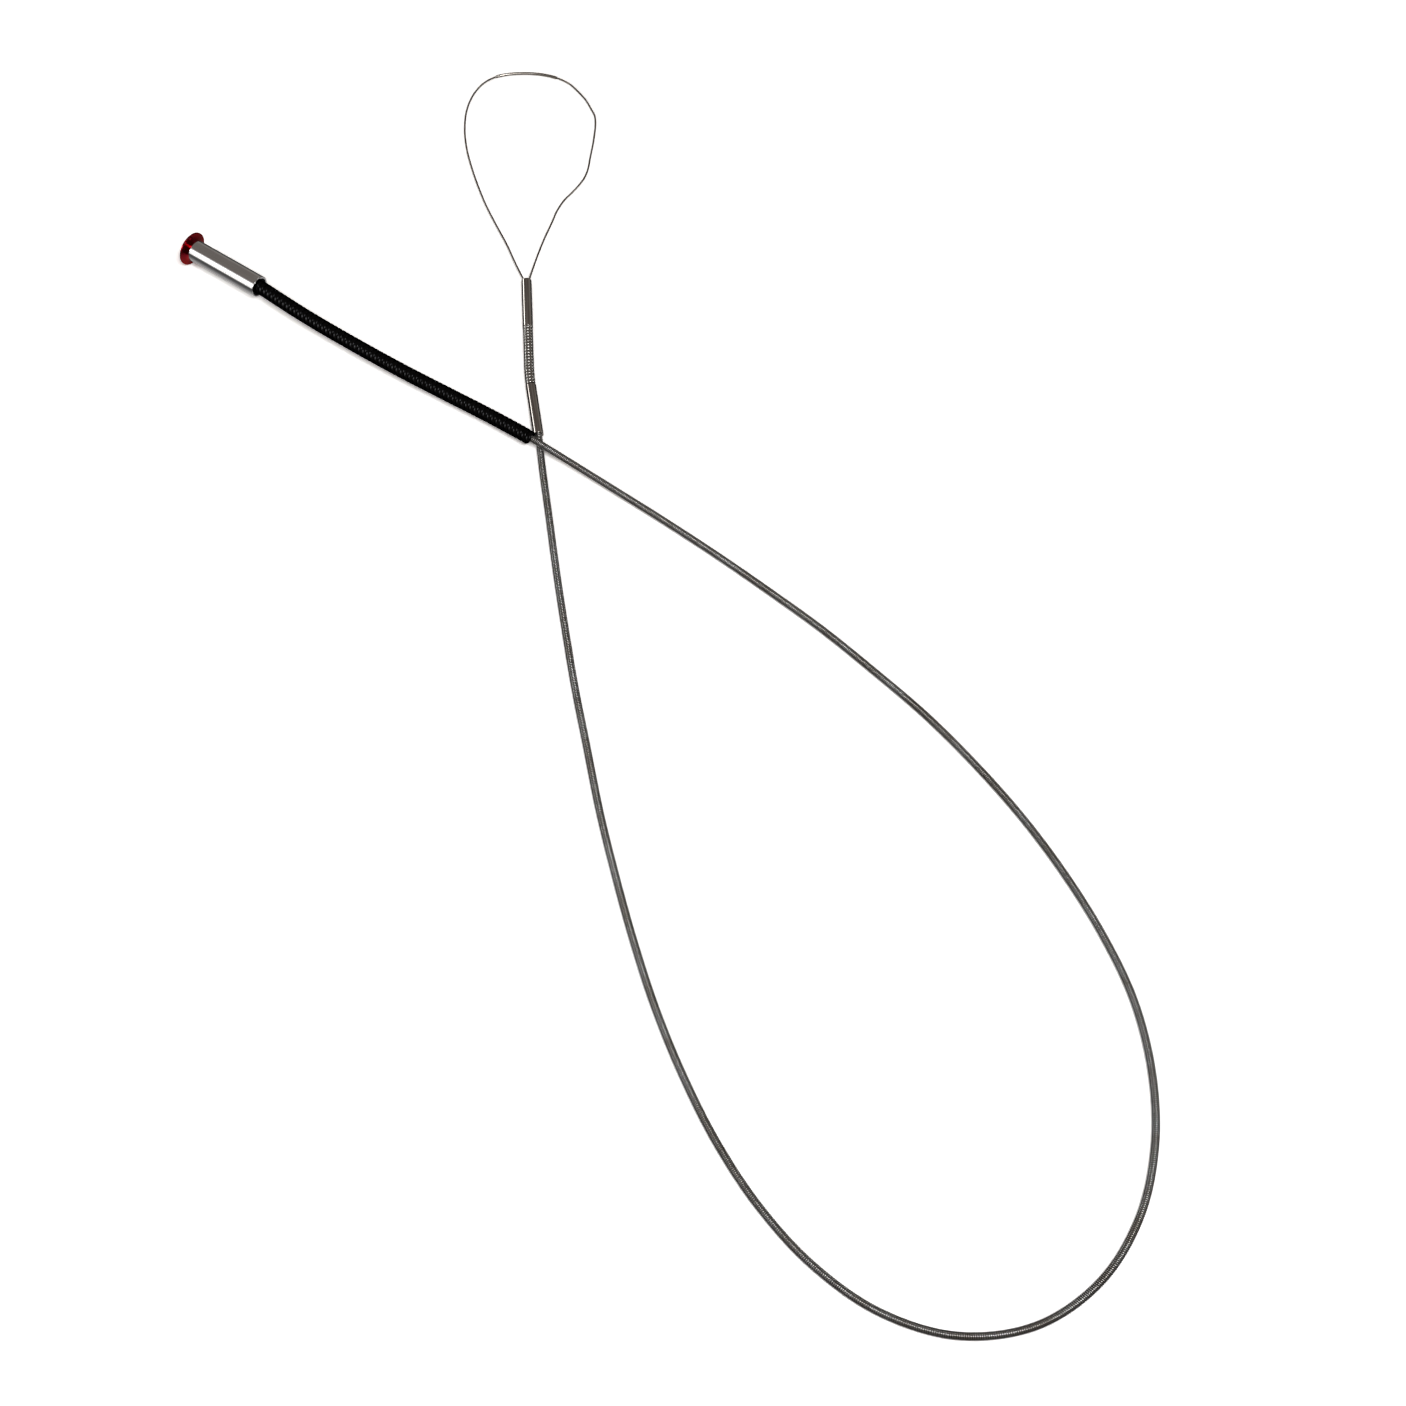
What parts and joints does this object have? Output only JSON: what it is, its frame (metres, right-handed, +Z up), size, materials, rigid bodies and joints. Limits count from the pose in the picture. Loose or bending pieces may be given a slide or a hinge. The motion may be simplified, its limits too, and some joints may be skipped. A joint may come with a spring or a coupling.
{
  "type": "cable shutter release",
  "caption": "Pull-type cable release: aluminium handle with a flared red button, black guard spring, long coiled-steel sheath, jointed ferrules and a wire noose at the tip.",
  "frame": {"origin": "centre of the handle barrel's button end, on the handle's axis", "axes": "+X along the handle's axis towards the cable, +Z up from the surface the part lies on, +Y to the left of +X"},
  "size_m": [0.5396, 0.3924, 0.0148],
  "materials": {
    "barrel_aluminium": "polished",
    "bush_brass": "turned",
    "bush_black": "moulded",
    "button_red": "red anodised",
    "stem_steel": "turned",
    "core_steel": "drawn",
    "spring_steel": "drawn and wound",
    "guard_black": "black lacquer",
    "sheath_steel": "drawn and wound",
    "ferrule_chrome": "nickel plated",
    "mouth_steel": "plain",
    "noose_wire": "drawn",
    "splice_steel": "plain"
  },
  "bodies": {
    "handle": {"barrel": "barrel_aluminium", "front_bush": "bush_brass", "end_bush": "bush_black", "return_spring": "spring_steel", "sheath_stop": "stem_steel", "guard_spring": "guard_black", "sheath": "sheath_steel", "lower_ferrule": "ferrule_chrome"},
    "button": {"pull_button": "button_red", "stem": "stem_steel", "piston": "bush_brass", "core_nipple": "bush_brass", "core_wire": "core_steel"},
    "flex": {"flex_spring": "spring_steel"},
    "tip": {"upper_ferrule": "ferrule_chrome", "mouth_bush": "mouth_steel"},
    "noose": {"noose_slug": "stem_steel", "core_tail": "core_steel", "wire_noose": "noose_wire", "splice_sleeve": "splice_steel"}
  },
  "joints": [
    {"name": "button_pull", "type": "slide", "parent": "handle", "child": "button", "axis": [-1, 0, 0], "range_m": [0, 0.009], "stiffness_N_per_m": 250, "deforming": ["return_spring"]},
    {"name": "tip_yaw", "type": "hinge", "parent": "handle", "child": "flex", "pos_m": [0.14792, 0.03748, -0.00525], "axis": [0, 0, 1], "range_deg": [-45, 45], "stiffness_Nm_per_rad": 0.06, "deforming": ["flex_spring"]},
    {"name": "tip_pitch", "type": "hinge", "parent": "flex", "child": "tip", "pos_m": [0.14792, 0.03748, -0.00525], "axis": [0.788, 0.6157, 0], "range_deg": [-45, 45], "stiffness_Nm_per_rad": 0.06, "deforming": ["flex_spring"]},
    {"name": "noose_draw", "type": "slide", "parent": "tip", "child": "noose", "axis": [0.6157, -0.788, 0], "range_m": [0, 0.009], "deforming": ["wire_noose"]}
  ],
  "couplings": [
    {"joint": "noose_draw", "follows": "button_pull", "ratio": 1}
  ]
}
